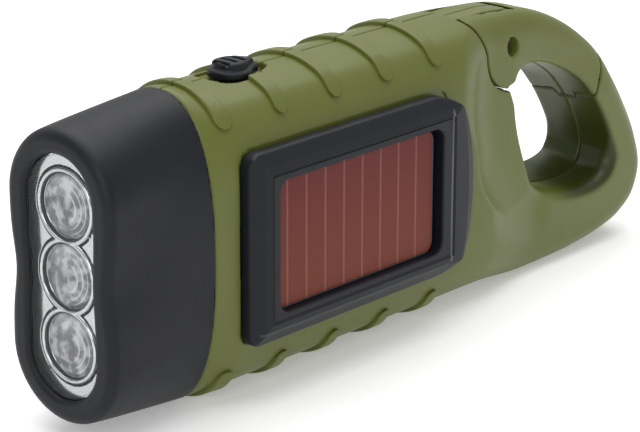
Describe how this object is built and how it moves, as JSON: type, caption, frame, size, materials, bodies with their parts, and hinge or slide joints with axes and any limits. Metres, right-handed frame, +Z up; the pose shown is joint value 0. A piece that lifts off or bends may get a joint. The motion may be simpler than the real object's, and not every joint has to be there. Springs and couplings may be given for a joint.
{
  "type": "hand crank flashlight",
  "caption": "Hand crank flashlight with a solar panel on one side, a folding crank on the other, a lamp head with LEDs and a spring-gate carabiner ring at the tail.",
  "frame": {"origin": "under the middle of the object, on the surface that the lowest ribs touch", "axes": "+X towards the carabiner ring at the tail, +Y towards the crank side, +Z up, with the lamp head at -X"},
  "size_m": [0.1364, 0.0338, 0.0501],
  "materials": {
    "olive_plastic": "satin moulded",
    "black_plastic": "satin moulded",
    "black_knob": "satin moulded",
    "clear_window": "polished",
    "led_lens": "polished",
    "chrome_reflector": "mirror bright",
    "solar_film": "glossy with light lines",
    "circuit_board": "solder resist",
    "plated_steel": "bright plated",
    "white_plastic": "moulded",
    "copper_winding": "enamelled wire",
    "magnet": "sintered",
    "battery_sleeve": "shrink sleeve"
  },
  "bodies": {
    "housing": {"shell_left": "olive_plastic", "shell_right": "olive_plastic", "head_shell": "black_plastic", "solar_bezel": "black_plastic", "head_lens": "clear_window", "reflector": "chrome_reflector", "led_upper": "led_lens", "led_middle": "led_lens", "led_lower": "led_lens", "led_board": "circuit_board", "control_board": "circuit_board", "solar_cell": "solar_film", "switch_body": "plated_steel", "gearbox_plate_left": "white_plastic", "gearbox_plate_right": "white_plastic", "first_axle": "plated_steel", "second_axle": "plated_steel", "generator_can": "plated_steel", "stator_coil": "copper_winding", "battery_pack": "battery_sleeve", "gate_pin": "plated_steel", "shell_screw_1": "plated_steel", "shell_screw_2": "plated_steel", "shell_screw_3": "plated_steel", "shell_screw_4": "plated_steel"},
    "switch": {"switch_knob": "black_knob"},
    "gate": {"gate_left": "olive_plastic", "gate_right": "olive_plastic", "gate_spring": "plated_steel"},
    "crank": {"crank_arm": "black_plastic", "crank_screw": "plated_steel", "crank_shaft": "plated_steel", "fold_pin": "plated_steel", "drive_gear": "white_plastic"},
    "knob_arm": {"knob_stem": "black_plastic"},
    "knob": {"crank_knob": "black_knob"},
    "first_wheel": {"first_gear": "white_plastic"},
    "second_wheel": {"second_gear": "white_plastic"},
    "rotor": {"rotor_pinion": "plated_steel", "rotor_shaft": "plated_steel", "rotor_magnet": "magnet"}
  },
  "joints": [
    {"name": "crank_turn", "type": "hinge", "parent": "housing", "child": "crank", "pos_m": [-0.00546, 0.01025, 0.02467], "axis": [0, 1, 0], "continuous": true},
    {"name": "knob_fold", "type": "hinge", "parent": "crank", "child": "knob_arm", "pos_m": [-0.03846, 0.01355, 0.02467], "axis": [0, 0, 1], "range_deg": [0, 90]},
    {"name": "knob_turn", "type": "hinge", "parent": "knob_arm", "child": "knob", "pos_m": [-0.02746, 0.01355, 0.02467], "axis": [1, 0, 0], "continuous": true},
    {"name": "gate_swing", "type": "hinge", "parent": "housing", "child": "gate", "pos_m": [0.02794, -0.00235, 0.04147], "axis": [0, 1, 0], "range_deg": [0, 20], "stiffness_Nm_per_rad": 0.02, "springref_deg": -20.05},
    {"name": "switch_slide", "type": "slide", "parent": "housing", "child": "switch", "axis": [1, 0, 0], "range_m": [-0.002, 0.001]},
    {"name": "first_spin", "type": "hinge", "parent": "housing", "child": "first_wheel", "pos_m": [-0.02287, -0.00235, 0.01935], "axis": [0, 1, 0], "continuous": true},
    {"name": "second_spin", "type": "hinge", "parent": "housing", "child": "second_wheel", "pos_m": [-0.03466, -0.00235, 0.02925], "axis": [0, 1, 0], "continuous": true},
    {"name": "rotor_spin", "type": "hinge", "parent": "housing", "child": "rotor", "pos_m": [-0.02987, -0.00235, 0.01609], "axis": [0, 1, 0], "continuous": true}
  ],
  "couplings": [
    {"joint": "first_spin", "follows": "crank_turn", "ratio": -3.3333},
    {"joint": "second_spin", "follows": "crank_turn", "ratio": 8.8889},
    {"joint": "rotor_spin", "follows": "crank_turn", "ratio": -20.741}
  ]
}
